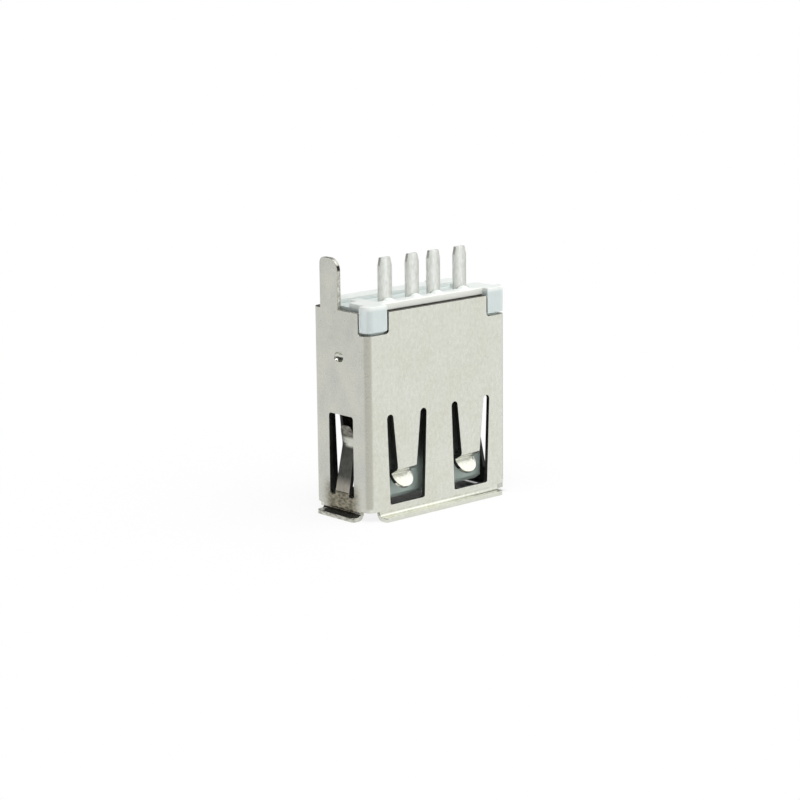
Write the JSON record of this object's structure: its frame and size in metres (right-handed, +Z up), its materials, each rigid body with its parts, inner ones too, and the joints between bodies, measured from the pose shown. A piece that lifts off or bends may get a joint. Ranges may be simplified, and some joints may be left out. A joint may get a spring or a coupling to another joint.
{
  "type": "usb socket",
  "caption": "Upright board socket for a USB plug: folded sheet shell with spring fingers and flared lips, pale moulded insulator with a tongue, stamped contacts and solder pins.",
  "frame": {"origin": "middle of the footprint of the lips, on the surface the socket stands on", "axes": "+Z up, from the mouth to the solder pins; +X along the long walls; -Y out of the plain long wall and +Y out of the wall with the seam"},
  "size_m": [0.0144, 0.0072, 0.0179],
  "materials": {
    "nickel_sheet": "satin nickel plate",
    "aqua_plastic": "satin moulding",
    "contact_plate": "plated strip"
  },
  "bodies": {
    "root": {"shell": "nickel_sheet", "insulator": "aqua_plastic", "contact_1": "contact_plate", "contact_2": "contact_plate", "contact_3": "contact_plate", "contact_4": "contact_plate"}
  },
  "joints": []
}
